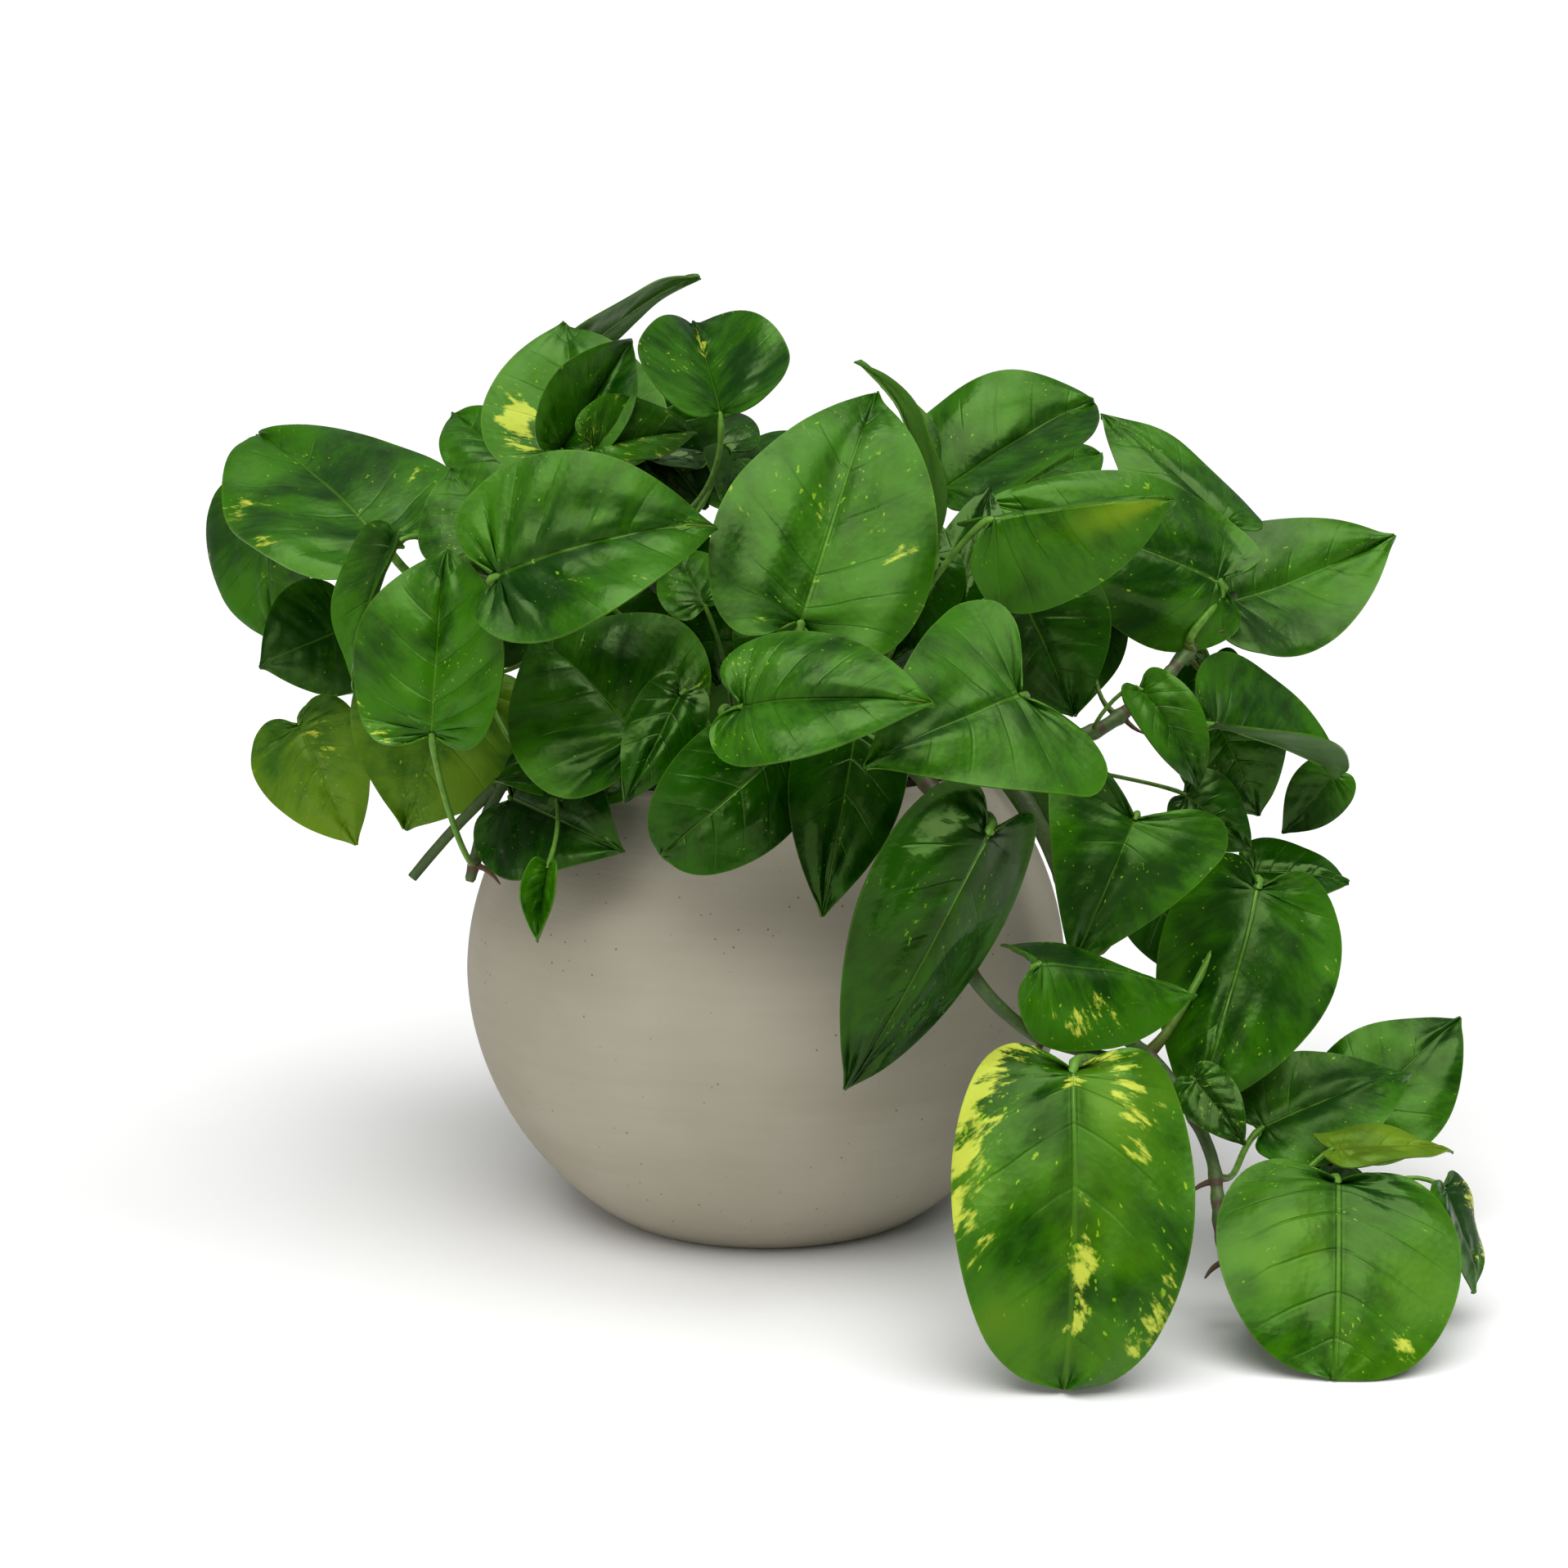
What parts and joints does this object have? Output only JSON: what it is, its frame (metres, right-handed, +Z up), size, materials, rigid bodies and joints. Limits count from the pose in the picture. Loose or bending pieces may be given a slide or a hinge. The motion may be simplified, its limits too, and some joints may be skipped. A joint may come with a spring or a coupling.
{
  "type": "potted pothos plant",
  "caption": "Golden pothos with heart-shaped leaves on trailing vines, growing in a round open ceramic pot that stands on its flat base.",
  "frame": {"origin": "centre of the pot's flat base, on the surface it stands on", "axes": "+Z up the pot's axis; +X towards the side where the vines trail down to the surface; -Y is the front of the plant"},
  "size_m": [0.4236, 0.3091, 0.3126],
  "materials": {
    "pot_clay": "matte, faint throwing lines",
    "soil": "crumbly, dark, standing in for potting soil",
    "vine_green": "semi-matte green stem with darker nodes",
    "leaf_green": "waxy leaf with paler veins and yellow flecks",
    "leaf_dark": "waxy leaf with paler veins and yellow flecks",
    "leaf_olive": "waxy leaf with paler veins and yellow flecks"
  },
  "bodies": {
    "root": {"pot": "pot_clay", "potting_soil": "soil", "vine_left_trailing": "vine_green", "vine_left_rising": "vine_green", "vine_crown": "vine_green", "vine_front": "vine_green", "vine_middle": "vine_green", "vine_right_rising": "vine_green", "vine_right_trailing": "vine_green", "vine_front_trailing": "vine_green", "vine_back": "vine_green", "leaf_crown_back": "leaf_green", "leaf_crown_round": "leaf_green", "leaf_crown_narrow": "leaf_green", "leaf_crown_heart": "leaf_green", "leaf_crown_dark": "leaf_dark", "leaf_left_top": "leaf_green", "leaf_left_back": "leaf_green", "leaf_left_drooping": "leaf_green", "leaf_left_bright": "leaf_green", "leaf_left_narrow": "leaf_green", "leaf_front_ribbed": "leaf_green", "leaf_left_front": "leaf_green", "leaf_front_folded": "leaf_green", "leaf_left_low": "leaf_dark", "leaf_left_olive": "leaf_olive", "leaf_left_olive_outer": "leaf_olive", "leaf_middle_large": "leaf_green", "leaf_middle_rolled": "leaf_green", "leaf_middle_glossy": "leaf_dark", "leaf_right_top": "leaf_green", "leaf_right_far_top": "leaf_green", "leaf_right_broad": "leaf_green", "leaf_right_spotted": "leaf_green", "leaf_right_outer": "leaf_green", "leaf_right_arching": "leaf_green", "leaf_right_hanging": "leaf_dark", "leaf_right_level": "leaf_green", "leaf_front_crest": "leaf_green", "leaf_front_oval": "leaf_dark", "leaf_front_slim": "leaf_dark", "leaf_front_hanging": "leaf_dark", "leaf_front_heart": "leaf_green", "leaf_front_drooping": "leaf_dark", "leaf_right_star": "leaf_green", "leaf_right_low": "leaf_green", "leaf_right_wide": "leaf_green", "leaf_floor_variegated": "leaf_green", "leaf_floor_round": "leaf_green", "leaf_floor_grey": "leaf_green", "leaf_floor_back": "leaf_green", "leaf_floor_pale": "leaf_green", "leaf_floor_outer": "leaf_green", "leaf_right_glossy": "leaf_dark", "leaf_right_cupped": "leaf_dark", "leaf_back_high": "leaf_green", "leaf_back_left": "leaf_green", "leaf_back_right": "leaf_green", "leaf_back_drooping": "leaf_green", "leaf_back_low": "leaf_dark"}
  },
  "joints": []
}
